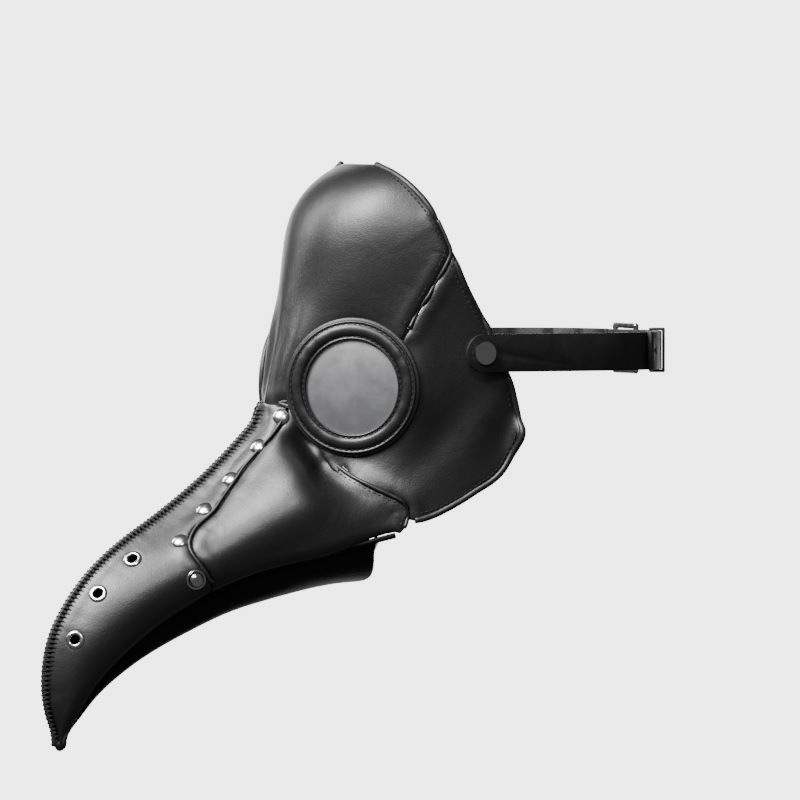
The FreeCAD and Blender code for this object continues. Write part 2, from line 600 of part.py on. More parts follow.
def keeper_block(grow):
    """The ring sector that the two straps fill under the keeper, grown all round by that much."""
    low = V(inner_r - grow, 0, mid_z - reach_z - grow)
    high = V(outer_r + grow, 0, mid_z + reach_z + grow)
    wire_box = Part.makePolygon([low, V(high.x, 0, low.z), high, V(low.x, 0, high.z), low])
    block = Part.Face(wire_box).revolve(V(0, 0, 0), V(0, 0, 1), keeper_half * 2)
    block.rotate(V(0, 0, 0), V(0, 0, 1), size("KeeperAngle") - keeper_half)
    block.translate(corner_centre)
    return block


node("strap_keeper", keeper_block(keeper_wall).cut(keeper_block(0)))

# The strap's pivots: one rivet a side with a spacer, a shank through strap and skin, and a back washer.
spacer_end = pivot_x + STANDOFF - size("SpacerGap")
seat_x = pivot_x - THICK / 2
spacer = Part.makeCylinder(size("PivotCap"), spacer_end - seat_x, V(seat_x, PIVOT.y, PIVOT.z), V(1, 0, 0))
shank_x = pivot_x - size("PivotShankIn")
shank_length = STANDOFF + strap_thick + 9.0
shank = Part.makeCylinder(size("PivotPost"), shank_length, V(shank_x, PIVOT.y, PIVOT.z), V(1, 0, 0))
cap_x = pivot_x + STANDOFF + strap_thick + size("SpacerGap")
pivot_cap = Part.makeCylinder(size("PivotCap"), size("PivotCapThick"), V(cap_x, PIVOT.y, PIVOT.z), V(1, 0, 0))
shank_end = cap_x + size("PivotCapThick")
inside_cap = Part.makeBox(shank_end, 200, 200, V(0, -100, -100))
pivot_rivet = spacer.fuse([shank.common(inside_cap), pivot_cap])
back_washer = Part.makeCylinder(size("PivotCap"), size("PivotWasherThick"),
                                V(shank_x + 0.1, PIVOT.y, PIVOT.z), V(1, 0, 0))
back_washer = back_washer.cut(shank)
room = Part.makeCylinder(size("PivotCap"), 20, V(seat_x, PIVOT.y, PIVOT.z), V(1, 0, 0)).fuse(shank)
for name, flip in (("left", False), ("right", True)):
    for made in nodes:
        if made.Label == "temple_panel_" + name:
            made.Shape = largest(made.Shape.cut(mirrored(room) if flip else room))
    node("pivot_rivet_" + name, mirrored(pivot_rivet) if flip else pivot_rivet)
    node("pivot_washer_" + name, mirrored(back_washer) if flip else back_washer)

# ---------------------------------------------------------------- check and write
doc.recompute()
for made in doc.Objects:
    if "Invalid" in made.State or "Error" in made.State:
        raise RuntimeError("%s did not recompute: %s" % (made.Name, made.State))
for made in nodes:
    if made.Shape.isNull() or not made.Shape.isValid():
        raise RuntimeError("%s has no valid shape" % made.Label)
os.makedirs("parts", exist_ok=True)
for made in nodes:
    made.Shape.exportStep("parts/%s.step" % made.Label)
print("wrote", len(nodes), "nodes; pivot at", PIVOT, "side x", side_x, "back y", back_y, "bar", bar)
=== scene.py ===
import math
import random

import bmesh
import bpy
import numpy as np
from mathutils import Matrix, Vector, noise
from mathutils.bvhtree import BVHTree
from mathutils.kdtree import KDTree


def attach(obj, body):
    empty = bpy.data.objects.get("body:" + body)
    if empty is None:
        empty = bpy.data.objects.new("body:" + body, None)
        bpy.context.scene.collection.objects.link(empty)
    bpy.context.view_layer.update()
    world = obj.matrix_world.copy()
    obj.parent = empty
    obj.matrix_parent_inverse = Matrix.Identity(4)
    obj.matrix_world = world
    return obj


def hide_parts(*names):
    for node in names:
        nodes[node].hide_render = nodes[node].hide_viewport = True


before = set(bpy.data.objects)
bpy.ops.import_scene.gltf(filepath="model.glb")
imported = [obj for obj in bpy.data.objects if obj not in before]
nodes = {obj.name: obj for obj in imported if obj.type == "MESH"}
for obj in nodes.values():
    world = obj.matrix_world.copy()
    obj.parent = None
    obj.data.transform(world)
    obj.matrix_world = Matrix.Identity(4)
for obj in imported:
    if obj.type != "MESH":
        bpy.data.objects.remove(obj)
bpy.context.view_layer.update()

mm = 0.001
random.seed(11)

# Seam lines of the left half in side view, (y, z) in mm; the right half is their mirror image.
outlines = {
    "strip": [(-147.5, -104.6), (-149.0, -99.5), (-153.2, -93.6), (-157.5, -86.8), (-157.0, -80.4), (-152.0, -73.5),
              (-142.7, -66.2), (-133.5, -56.0), (-122.8, -43.6), (-108.0, -28.3), (-98.4, -17.2)],
    "brow": [(-46.0, 31.0), (-39.0, 44.0), (-31.5, 58.0), (-22.0, 78.0), (-13.0, 97.5)],
    "cheekTop": [(-78.4, -35.5), (-77.6, -38.5), (-72.5, -46.2), (-65.2, -51.4), (-57.0, -55.9), (-50.0, -60.2),
                 (-47.6, -67.2), (-51.6, -75.4)],
    "bridge": [(-104.6, -7.4), (-97.5, -9.6), (-91.0, -13.0)],
    "rim": [(-47.0, 117.0), (-33.0, 92.0), (-22.0, 62.0), (-8.0, 34.0), (4.0, 6.0), (9.0, -20.0), (2.0, -43.0),
            (-16.0, -57.0), (-34.0, -67.0), (-47.4, -70.6)],
}
# The side seam between beak and gusset, (x, y, z), and the ridge (y, z), both from tip to rear.
lowerSeam = [(1.6, -219.9, -186.2), (3.0, -218.9, -178.8), (5.2, -215.0, -169.8), (7.6, -210.0, -159.4),
             (10.4, -202.0, -148.2), (13.4, -191.6, -137.2), (16.6, -179.5, -126.4), (19.8, -165.8, -116.6),
             (23.2, -151.4, -108.0), (27.3, -136.8, -101.0), (32.2, -122.8, -95.5), (37.6, -109.6, -91.5),
             (43.4, -97.0, -88.6), (47.8, -85.6, -85.6), (51.6, -75.0, -82.7), (55.4, -64.0, -79.7),
             (58.8, -53.4, -77.0)]
ridge = [(-222.8, -187.0), (-223.6, -178.6), (-226.8, -168.6), (-228.6, -156.6), (-227.8, -142.4), (-223.6, -127.4),
         (-214.0, -111.0), (-201.6, -96.4), (-185.6, -83.0), (-168.0, -71.3), (-150.8, -59.1), (-135.2, -46.7),
         (-121.5, -34.1), (-109.2, -21.4), (-103.0, -9.2)]
# The gusset's rear edge at the throat, from the left seam to the keel, (x, y, z).
throat = [(55.0, -64.0, -79.7), (34.1, -57.0, -86.4), (0.0, -48.4, -102.1), (-34.1, -57.0, -86.4),
          (-55.0, -64.0, -79.7)]


# ---- small tools
def hexColour(text):
    parts = [int(text[k:k + 2], 16) / 255 for k in (1, 3, 5)]
    return [c / 12.92 if c <= 0.04045 else ((c + 0.055) / 1.055) ** 2.4 for c in parts] + [1.0]


def addNode(tree, kind, settings=None, links=None):
    made = tree.nodes.new(kind)
    for key, value in (settings or {}).items():
        if key in made.inputs:
            made.inputs[key].default_value = value
        else:
            setattr(made, key, value)
    for key, source in (links or {}).items():
        tree.links.new(source, made.inputs[key])
    return made


def newMaterial(name):
    made = bpy.data.materials.new(name)
    made.use_nodes = True
    made.node_tree.nodes.clear()
    tree = made.node_tree
    shader = addNode(tree, "ShaderNodeBsdfPrincipled")
    addNode(tree, "ShaderNodeOutputMaterial", links={"Surface": shader.outputs["BSDF"]})
    where = addNode(tree, "ShaderNodeTexCoord").outputs["Object"]
    return made, tree, shader, where


def smoothLine(points, step):
    """Evenly spaced points, step metres apart, on a smooth curve through the given ones."""
    fine = []
    count = len(points)
    for k in range(count - 1):
        p0, p1 = points[max(k - 1, 0)], points[k]
        p2, p3 = points[k + 1], points[min(k + 2, count - 1)]
        for j in range(16):
            t = j / 16
            fine.append(0.5 * ((2 * p1) + (p2 - p0) * t + (2 * p0 - 5 * p1 + 4 * p2 - p3) * t * t
                               + (3 * p1 - p0 - 3 * p2 + p3) * t * t * t))
    fine.append(points[-1])
    even = [fine[0]]
    left = step
    for a, b in zip(fine, fine[1:]):
        run = (b - a).length
        while run >= left:
            a = a + (b - a) * (left / run)
            run = (b - a).length
            even.append(a.copy())
            left = step
        left -= run
    return even


def treeOf(names):
    joined = bmesh.new()
    for name in names:
        joined.from_mesh(nodes[name].data)
    made = BVHTree.FromBMesh(joined)
    joined.free()
    return made


def mergedCopy(name):
    bm = bmesh.new()
    bm.from_mesh(nodes[name].data)
    bmesh.ops.remove_doubles(bm, verts=bm.verts, dist=0.002 * mm)
    return bm


def finishPiece(name, bm, material, body, replaced=(), flat=False):
    mesh = bpy.data.meshes.new(name)
    bm.to_mesh(mesh)
    bm.free()
    made = bpy.data.objects.new(name, mesh)
    bpy.context.collection.objects.link(made)
    mesh.materials.append(material)
    if not flat:
        mesh.shade_smooth()
    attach(made, body)
    if replaced:
        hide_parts(*replaced)
    return made


def mirrorMesh(bm):
    bmesh.ops.scale(bm, vec=(-1, 1, 1), verts=bm.verts)
    bmesh.ops.reverse_faces(bm, faces=bm.faces)


def frameOn(centre, normal, along=None):
    """A matrix whose Z is the normal and whose X runs along the given way."""
    z = normal.normalized()
    x = (along or z.orthogonal()).normalized()
    x = (x - z * x.dot(z)).normalized()
    y = z.cross(x)
    made = Matrix((x, y, z)).transposed().to_4x4()
    made.translation = centre
    return made


def lathe(bm, profile, place, steps):
    """Spins a closed (radius, height) profile in mm about the place's Z axis."""
    points = [bm.verts.new(place @ Vector((r * mm, 0, z * mm))) for r, z in profile]
    edges = [bm.edges.new(pair) for pair in zip(points, points[1:])]
    if profile[0][0] > 0:
        edges.append(bm.edges.new((points[-1], points[0])))
    axis = place.to_3x3() @ Vector((0, 0, 1))
    made = bmesh.ops.spin(bm, geom=points + edges, cent=place.translation, axis=axis, angle=math.tau, steps=steps,
                          use_merge=True)
    return made


def closeLathe(bm):
    bmesh.ops.remove_doubles(bm, verts=bm.verts, dist=0.004 * mm)
    bmesh.ops.recalc_face_normals(bm, faces=bm.faces)


def curveMesh(points, radius, squash=1.0, closed=False, sides=4):
    """A round cord through the points as a bmesh."""
    data = bpy.data.curves.new("cordPath", "CURVE")
    data.dimensions = "3D"
    data.bevel_depth = radius
    data.bevel_resolution = sides
    data.use_fill_caps = True
    line = data.splines.new("POLY")
    line.points.add(len(points) - 1)
    for spot, point in zip(line.points, points):
        spot.co = (*point, 1)
    line.use_cyclic_u = closed
    holder = bpy.data.objects.new("cordPath", data)
    mesh = bpy.data.meshes.new_from_object(holder)
    bm = bmesh.new()
    bm.from_mesh(mesh)
    bpy.data.objects.remove(holder)
    bpy.data.curves.remove(data)
    bpy.data.meshes.remove(mesh)
    bmesh.ops.remove_doubles(bm, verts=bm.verts, dist=0.001 * mm)
    return bm


def stitchRow(bm, line, normals, look, skip=0):
    """One sunk thread stitch for each pitch along the line."""
    for k, (point, normal) in enumerate(zip(line, normals)):
        if k + 1 >= len(line):
            break
        way = line[k + 1] - point
        if way.length < 1e-7 or way.length > look["pitch"] * mm * 2.5:
            continue
        middle = point + way * 0.5 + normal * (look["lift"] * mm)
        turn = frameOn(middle, normal, way)
        lean = Matrix.Rotation(math.radians(look.get("lean", 6)), 4, "Z")
        size = Matrix.Diagonal((look["length"] * mm / 2, look["width"] * mm / 2, look["height"] * mm / 2, 1))
        bmesh.ops.create_icosphere(bm, subdivisions=2, radius=1.0, matrix=turn @ lean @ size)


# ---- materials
def leatherMaterial(name, look):
    """Finished hide or coated leather: black, a broad soft sheen, fine pebble grain and shallow creases whose hollows
    carry painted shade.
    """
    made, tree, shader, where = newMaterial(name)
    grain = addNode(tree, "ShaderNodeTexVoronoi", {"feature": "F1", "Scale": 1000 / look["grainMm"]},
                    {"Vector": where})
    pore = addNode(tree, "ShaderNodeTexNoise", {"Scale": 1000 / look["poreMm"], "Detail": 3.0, "Roughness": 0.6},
                   {"Vector": where})
    crease = addNode(tree, "ShaderNodeTexNoise", {"Scale": 1000 / look["creaseMm"], "Detail": 4.0, "Distortion": 0.6},
                     {"Vector": where})
    grainBump = addNode(tree, "ShaderNodeBump", {"Strength": look["grain"], "Distance": 0.12 * mm},
                        {"Height": grain.outputs["Distance"]})
    poreBump = addNode(tree, "ShaderNodeBump", {"Strength": look["pore"], "Distance": 0.1 * mm},
                       {"Height": pore.outputs["Fac"], "Normal": grainBump.outputs["Normal"]})
    creaseBump = addNode(tree, "ShaderNodeBump", {"Strength": look["crease"], "Distance": 0.9 * mm},
                         {"Height": crease.outputs["Fac"], "Normal": poreBump.outputs["Normal"]})
    tree.links.new(creaseBump.outputs["Normal"], shader.inputs["Normal"])
    # Painted shade: the base colour runs from dark in the crease hollows to lighter on the rises, following the crease
    # bump's height.
    creaseShadeTint = addNode(tree, "ShaderNodeValToRGB", links={"Fac": crease.outputs["Fac"]})
    creaseShadeTint.color_ramp.elements[0].position = 0.35
    creaseShadeTint.color_ramp.elements[0].color = hexColour(look["dark"])
    creaseShadeTint.color_ramp.elements[1].position = 0.7
    creaseShadeTint.color_ramp.elements[1].color = hexColour(look["light"])
    tree.links.new(creaseShadeTint.outputs["Color"], shader.inputs["Base Color"])
    rough = addNode(tree, "ShaderNodeMapRange", {"From Min": 0.3, "From Max": 0.7, "To Min": look["rough"][0],
                                                 "To Max": look["rough"][1]}, {"Value": pore.outputs["Fac"]})
    tree.links.new(rough.outputs["Result"], shader.inputs["Roughness"])
    shader.inputs["IOR"].default_value = 1.5
    shader.inputs["Specular IOR Level"].default_value = look["specular"]
    return made


def metalMaterial(name, look):
    """Nickel-plated brass pressings: bright, near neutral, with the fine haze of handling."""
    made, tree, shader, where = newMaterial(name)
    haze = addNode(tree, "ShaderNodeTexNoise", {"Scale": 1000 / look["hazeMm"], "Detail": 4.0}, {"Vector": where})
    rough = addNode(tree, "ShaderNodeMapRange", {"From Min": 0.3, "From Max": 0.7, "To Min": look["rough"][0],
                                                 "To Max": look["rough"][1]}, {"Value": haze.outputs["Fac"]})
    bump = addNode(tree, "ShaderNodeBump", {"Strength": 0.08, "Distance": 0.05 * mm}, {"Height": haze.outputs["Fac"]})
    tree.links.new(rough.outputs["Result"], shader.inputs["Roughness"])
    tree.links.new(bump.outputs["Normal"], shader.inputs["Normal"])
    shader.inputs["Base Color"].default_value = hexColour(look["colour"])
    shader.inputs["Metallic"].default_value = 1.0
    return made


def threadMaterial(name, colour):
    """Bonded twisted thread: dull, with the slanting ply of its twist."""
    made, tree, shader, where = newMaterial(name)
    ply = addNode(tree, "ShaderNodeTexWave", {"Scale": 1000 / 0.7, "Distortion": 0.8, "bands_direction": "DIAGONAL"},
                  {"Vector": where})
    bump = addNode(tree, "ShaderNodeBump", {"Strength": 0.5, "Distance": 0.1 * mm}, {"Height": ply.outputs["Fac"]})
    tree.links.new(bump.outputs["Normal"], shader.inputs["Normal"])
    shader.inputs["Base Color"].default_value = hexColour(colour)
    shader.inputs["Roughness"].default_value = 0.8
    shader.inputs["Specular IOR Level"].default_value = 0.2
    return made


def lensMaterial(name):
    """Mirror-tinted acrylic rubbed to a satin: pale grey that takes one broad soft highlight."""
    made, tree, shader, where = newMaterial(name)
    rub = addNode(tree, "ShaderNodeTexNoise", {"Scale": 1000 / 9.0, "Detail": 5.0, "Roughness": 0.6}, {"Vector": where})
    rough = addNode(tree, "ShaderNodeMapRange", {"From Min": 0.3, "From Max": 0.7, "To Min": 0.36, "To Max": 0.46},
                    {"Value": rub.outputs["Fac"]})
    grit = addNode(tree, "ShaderNodeTexNoise", {"Scale": 1000 / 0.8, "Detail": 2.0}, {"Vector": where})
    bump = addNode(tree, "ShaderNodeBump", {"Strength": 0.06, "Distance": 0.05 * mm}, {"Height": grit.outputs["Fac"]})
    tree.links.new(rough.outputs["Result"], shader.inputs["Roughness"])
    tree.links.new(bump.outputs["Normal"], shader.inputs["Normal"])
    shader.inputs["Base Color"].default_value = hexColour("#a4a4a6")
    shader.inputs["Metallic"].default_value = 0.85
    return made


def plasticMaterial(name, colour, roughness):
    """Injection-moulded ABS with a light spark texture."""
    made, tree, shader, where = newMaterial(name)
    spark = addNode(tree, "ShaderNodeTexNoise", {"Scale": 1000 / 0.6, "Detail": 2.0}, {"Vector": where})
    bump = addNode(tree, "ShaderNodeBump", {"Strength": 0.2, "Distance": 0.05 * mm}, {"Height": spark.outputs["Fac"]})
    tree.links.new(bump.outputs["Normal"], shader.inputs["Normal"])
    shader.inputs["Base Color"].default_value = hexColour(colour)
    shader.inputs["Roughness"].default_value = roughness
    return made


# In each look, dark and light are the base colours of the crease hollows and rises: painted shade in the creases.
coated = leatherMaterial("coatedLeather", {"grainMm": 0.9, "poreMm": 0.35, "creaseMm": 16, "grain": 0.3, "pore": 0.25,
                                           "crease": 0.3, "dark": "#0d0d0e", "light": "#121213",
                                           "rough": (0.36, 0.46), "specular": 0.75})
edgeLeather = leatherMaterial("turnedEdgeLeather", {"grainMm": 0.7, "poreMm": 0.3, "creaseMm": 7, "grain": 0.25,
                                                    "pore": 0.2, "crease": 0.3, "dark": "#1a1a1b",
                                                    "light": "#262628", "rough": (0.38, 0.5), "specular": 0.6})
gussetLeather = leatherMaterial("mattGussetLeather", {"grainMm": 0.9, "poreMm": 0.35, "creaseMm": 14, "grain": 0.2,
                                                      "pore": 0.2, "crease": 0.2, "dark": "#0a0a0a",
                                                      "light": "#0e0e0e", "rough": (0.6, 0.7), "specular": 0.16})
strapLeather = leatherMaterial("bridleStrapLeather", {"grainMm": 0.8, "poreMm": 0.3, "creaseMm": 11, "grain": 0.3,
                                                      "pore": 0.22, "crease": 0.35, "dark": "#161617",
                                                      "light": "#1f1f20", "rough": (0.42, 0.55), "specular": 0.5})
thread = threadMaterial("bondedThread", "#2c2c2e")
nickel = metalMaterial("nickelPlate", {"colour": "#dcdcda", "rough": (0.14, 0.24), "hazeMm": 2.5})
buckleNickel = metalMaterial("polishedBuckleNickel", {"colour": "#cfcfcd", "rough": (0.16, 0.28), "hazeMm": 4})
lensTint = lensMaterial("satinMirrorAcrylic")
retainerPlastic = plasticMaterial("mouldedAbs", "#161616", 0.5)
print("materials made")

# ---- seam lines on the skins, left side
sideTree = treeOf(["beak_panel_left", "cheek_panel_left"])
faceTree = treeOf(["forehead_panel", "temple_panel_left"])
allTree = treeOf(["beak_panel_left", "cheek_panel_left", "forehead_panel", "temple_panel_left"])


def castLine(points, tree, step, guess=None):
    """Side-view points thrown on to the skin from the left: evenly spaced places."""
    raw = []
    last = guess
    for point in smoothLine([Vector((0, y * mm, z * mm)) for y, z in points], 0.6 * mm):
        hit = tree.ray_cast(Vector((0.2, point.y, point.z)), Vector((-1, 0, 0)))
        if hit[0] is not None and (last is None or abs(hit[0].x - last) < 6 * mm):
            last = hit[0].x
            raw.append(hit[0])
        else:
            near = tree.find_nearest(Vector((last if last is not None else 40 * mm, point.y, point.z)))
            last = near[0].x
            raw.append(near[0])
    return evenOut(raw, step)


def evenOut(raw, step, passes=24):
    soft = list(raw)
    for _ in range(passes):
        soft = [soft[0]] + [(a + b * 2 + c) / 4 for a, b, c in zip(soft, soft[1:], soft[2:])] + [soft[-1]]
    return smoothLine(soft, step)


def skinNormals(line, tree):
    """Smoothed outward normals of the skin along a line."""
    found = []
    for point in line:
        total = Vector()
        for near in tree.find_nearest_range(point, 4 * mm)[:40]:
            if near[1].x > -0.3:
                total += near[1]
        found.append(total.normalized() if total.length > 0.01 else Vector((1, 0, 0)))
    outward = []
    for k, point in enumerate(line):
        near = sum((found[j] for j in range(max(0, k - 3), min(len(found), k + 4))), Vector())
        outward.append(near.normalized())
    return outward


seamStep = 1.0 * mm
lowerLine = smoothLine([Vector(p) * mm for p in lowerSeam], seamStep)
ridgeLine = smoothLine([Vector((0, y, z)) * mm for y, z in ridge], seamStep)
seams = {name: castLine(points, {"strip": sideTree, "cheekTop": sideTree}.get(name, faceTree), seamStep)
         for name, points in outlines.items()}
seams["lower"] = lowerLine
seams["ridge"] = ridgeLine
print("seams", {name: len(line) for name, line in seams.items()})

seamPoints = []
for name in ("strip", "brow", "cheekTop", "lower", "ridge", "bridge"):
    for point in seams[name]:
        seamPoints.append(point)
        seamPoints.append(Vector((-point.x, point.y, point.z)))
seamTree = KDTree(len(seamPoints))
for k, point in enumerate(seamPoints):
    seamTree.insert(point, k)
seamTree.balance()

# ---- leather panels
panelLook = {"voxel": 0.85, "softenPasses": 9, "groove": 0.35, "grooveWidth": 1.3, "swell": 0.45, "swellAt": 5.0,
             "swellWidth": 3.5, "pucker": 0.22, "puckerReach": 9.0, "puckerPitch": 5.5, "roll": 0.35, "rollSize": 26.0}


def remeshed(bm, voxel):
    mesh = bpy.data.meshes.new("remesh")
    bm.to_mesh(mesh)
    bm.free()
    holder = bpy.data.objects.new("remesh", mesh)
    bpy.context.collection.objects.link(holder)
    change = holder.modifiers.new("remesh", "REMESH")
    change.mode = "VOXEL"
    change.voxel_size = voxel
    made = bmesh.new()
    made.from_mesh(holder.evaluated_get(bpy.context.evaluated_depsgraph_get()).to_mesh())
    bpy.data.objects.remove(holder)
    bpy.data.meshes.remove(mesh)
    return made


def throatClosing(place):
    """Draws the gusset's rear end up under the cheek's lower edge."""
    rear = min(1.0, max(0.0, (place.y / mm + 100) / 22))
    high = min(1.0, max(0.0, (place.z / mm + 100) / 10))
    return Vector((0, 0, 0.5)) * (rear * high * mm)


def leatherPanel(nodeName, pieceName, look=panelLook, puff=0.0, closing=lambda place: Vector(), material=None):
    """A hide panel with rounded edges, sunk along its seams and puckered by the stitches."""
    bm = remeshed(mergedCopy(nodeName), look["voxel"] * mm)
    for _ in range(look["softenPasses"]):
        bmesh.ops.smooth_vert(bm, verts=bm.verts, factor=0.5, use_axis_x=True, use_axis_y=True, use_axis_z=True)
    bm.normal_update()
    moves = []
    for vert in bm.verts:
        near, _, gap = seamTree.find(vert.co)
        gap /= mm
        push = -look["groove"] * math.exp(-(gap / look["grooveWidth"]) ** 2)
        push += look["swell"] * math.exp(-((gap - look["swellAt"]) / look["swellWidth"]) ** 2)
        along = noise.noise(near / (look["puckerPitch"] * mm))
        push += look["pucker"] * along * math.exp(-gap / look["puckerReach"]) * min(1.0, gap / 2)
        push += look["roll"] * noise.noise(vert.co / (look["rollSize"] * mm)) * min(1.0, gap / 6)
        push += puff * (1 - math.exp(-gap / 9.0))
        moves.append(vert.normal * (push * mm) + closing(vert.co))
    for vert, move in zip(bm.verts, moves):
        vert.co += move if move.length < 2 * mm else move.normalized() * 2 * mm
    return finishPiece(pieceName, bm, material or coated, "mask", [nodeName])


for side in ("left", "right"):
    leatherPanel("beak_panel_" + side, "beakPanel_" + side)
    leatherPanel("cheek_panel_" + side, "cheekPanel_" + side)
    leatherPanel("temple_panel_" + side, "templePanel_" + side)
leatherPanel("forehead_panel", "foreheadPanel")
leatherPanel("beak_underside", "beakUnderside", closing=throatClosing, material=gussetLeather)
print("panels made")

# ---- eyepieces
eyeLook = {"steps": 112, "outerStitch": 33.35, "innerStitch": 26.65, "pitch": 3.1,
           "stitch": {"pitch": 3.1, "length": 2.1, "width": 0.8, "height": 0.55, "lift": 0.05, "lean": 4}}
# Profiles are (radius, height) in mm above the skin's outer face.
backingProfile = [(29.6, 0.0), (36.2, 0.0), (36.5, 0.35), (36.5, 1.2), (36.2, 1.55), (34.2, 1.7), (29.6, 1.7)]
bezelProfile = [(25.3, 1.75), (34.5, 1.75), (34.85, 2.0), (34.9, 2.6), (34.6, 3.0), (34.1, 3.05), (33.6, 2.6),
                (33.1, 2.5), (32.7, 2.95), (32.0, 3.4), (30.9, 3.75), (29.7, 3.85), (28.5, 3.7), (27.6, 3.35),
                (27.1, 2.85), (26.8, 2.5), (26.5, 2.5), (26.2, 2.95), (25.8, 3.2), (25.4, 3.15), (25.1, 2.8),
                (25.05, 2.2)]
lensProfile = [(0.0, 3.15), (4.0, 3.12), (9.0, 2.95), (14.0, 2.6), (19.0, 2.1), (22.5, 1.65), (24.9, 1.3), (28.8, 1.2),
               (29.0, 1.0), (29.0, 0.2), (28.8, 0.05), (24.0, 0.05), (16.0, 0.8), (8.0, 1.5), (0.0, 1.75)]


def nodePlace(name):
    """Centre, axis and half-thickness of a round CAD node, from its own vertices."""
    places = np.array([v.co for v in nodes[name].data.vertices])
    return islandPlace(places)


def islandPlace(places):
    places = np.unique(np.round(places, 7), axis=0)
    centre = places.mean(axis=0)
    values, vectors = np.linalg.eigh(np.cov((places - centre).T))
    odd = 0 if abs(values[1] - values[0]) > abs(values[2] - values[1]) else 2
    axis = Vector(vectors[:, odd])
    if axis.x * centre[0] < 0:
        axis = -axis
    heights = (places - centre) @ np.array(axis)
    return Vector(centre), axis, float(heights.min()), float(heights.max())


def ringStitches(bm, place, radius, height, look):
    count = int(math.tau * radius / look["pitch"])
    line = [place @ Vector((radius * mm * math.cos(math.tau * k / count), radius * mm * math.sin(math.tau * k / count),
                            height * mm)) for k in range(count + 1)]
    normal = place.to_3x3() @ Vector((0, 0, 1))
    stitchRow(bm, line, [normal] * len(line), look)


for side in ("left", "right"):
    centre, axis, low, high = nodePlace("eye_backing_" + side)
    place = frameOn(centre + axis * low, axis, Vector((0, 0, 1)))
    bm = bmesh.new()
    lathe(bm, backingProfile, place, eyeLook["steps"])
    closeLathe(bm)
    finishPiece("eyeBacking_" + side, bm, edgeLeather, "mask", ["eye_backing_" + side])
    bm = bmesh.new()
    lathe(bm, bezelProfile, place, eyeLook["steps"])
    closeLathe(bm)
    for vert in bm.verts:
        local = place.inverted() @ vert.co
        angle = math.atan2(local.y, local.x)
        radius = math.hypot(local.x, local.y) / mm
        if 27 < radius < 33 and local.z > 2.9 * mm:
            crinkle = noise.noise(Vector((math.cos(angle) * 7, math.sin(angle) * 7, 3 if side == "left" else 7)))
            vert.co += axis * (0.3 * crinkle * mm)
    bezel = finishPiece("eyeBezel_" + side, bm, coated, "mask", ["eye_bezel_" + side])
    bm = bmesh.new()
    lathe(bm, lensProfile, place, eyeLook["steps"])
    closeLathe(bm)
    finishPiece("lensDome_" + side, bm, lensTint, "mask", ["lens_" + side])
    bm = bmesh.new()
    ringStitches(bm, place, eyeLook["outerStitch"], 2.6, eyeLook["stitch"])
    ringStitches(bm, place, eyeLook["innerStitch"], 2.6, eyeLook["stitch"])
    finishPiece("eyeStitches_" + side, bm, thread, "mask")
print("eyepieces made")

# ---- hardware: rivets, eyelets and studs, each turned afresh where its CAD node has one
capProfile = [(0.0, 1.75), (1.0, 1.72), (2.1, 1.58), (3.2, 1.25), (4.0, 0.85), (4.4, 0.5), (4.5, 0.25), (4.35, 0.02),
              (1.5, 0.0), (1.5, -2.6), (0.0, -2.6)]
eyeletProfile = [(2.5, -2.7), (2.5, 0.35), (2.62, 0.62), (2.9, 0.85), (3.4, 0.98), (4.0, 0.9), (4.6, 0.62), (4.95, 0.3),
                 (5.0, 0.1), (4.85, 0.0), (3.1, 0.0), (3.1, -2.7)]
studRingProfile = [(1.6, 0.0), (5.0, 0.0), (5.25, 0.2), (5.3, 0.5), (5.1, 0.8), (4.7, 0.92), (4.2, 0.85), (3.95, 0.6),
                   (3.9, 0.35), (1.6, 0.35)]
studProfile = [(0.0, 2.9), (0.9, 2.84), (1.9, 2.6), (2.8, 2.1), (3.4, 1.45), (3.6, 0.95), (3.55, 0.55), (3.3, 0.4),
               (1.5, 0.38), (1.5, -1.5), (0.0, -1.5)]


def islandsOf(name):
    bm = mergedCopy(name)
    seen = set()
    groups = []
    for vert in bm.verts:
        if vert in seen:
            continue
        stack = [vert]
        group = []
        while stack:
            here = stack.pop()
            if here in seen:
                continue
            seen.add(here)
            group.append(tuple(here.co))
            stack.extend(edge.other_vert(here) for edge in here.link_edges)
        groups.append(islandPlace(np.array(group)))
    bm.free()
    return groups


def seatAxis(centre, side):
    """The skin's outward normal at a place."""
    sign = 1 if side == "left" else -1
    near = Vector((abs(centre.x), centre.y, centre.z))
    total = Vector()
    for hit in sideTree.find_nearest_range(near, 9 * mm):
        if hit[1].x > 0.25:
            total += hit[1]
    total.normalize()
    return Vector((total.x * sign, total.y, total.z))


def turnedGroup(nodeName, pieceName, profile, lift, steps, side):
    bm = bmesh.new()
    for centre, axis, low, high in islandsOf(nodeName):
        if axis.dot(seatAxis(centre, side)) < 0:
            axis, low, high = -axis, -high, -low
        place = frameOn(centre + axis * (high + lift * mm), axis)
        lathe(bm, profile, place, steps)
    closeLathe(bm)
    return finishPiece(pieceName, bm, nickel, "mask", [nodeName])


for side in ("left", "right"):
    turnedGroup("rivet_caps_" + side, "rivetCaps_" + side, capProfile, -1.8, 32, side)
    turnedGroup("eyelets_" + side, "eyelets_" + side + "_rolled", eyeletProfile, -0.6, 40, side)
    turnedGroup("stud_rings_" + side, "studRing_" + side, studRingProfile, -0.8, 40, side)
    turnedGroup("corner_studs_" + side, "cornerStud_" + side, studProfile, -2.8, 32, side)
    for name in ("rivet_backs_", "eyelet_washers_", "pivot_washer_", "pivot_rivet_"):
        nodes[name + side].data.materials.clear()
        nodes[name + side].data.materials.append(nickel)
    nodes["lens_retainer_" + side].data.materials.clear()
    nodes["lens_retainer_" + side].data.materials.append(retainerPlastic)
print("hardware made")

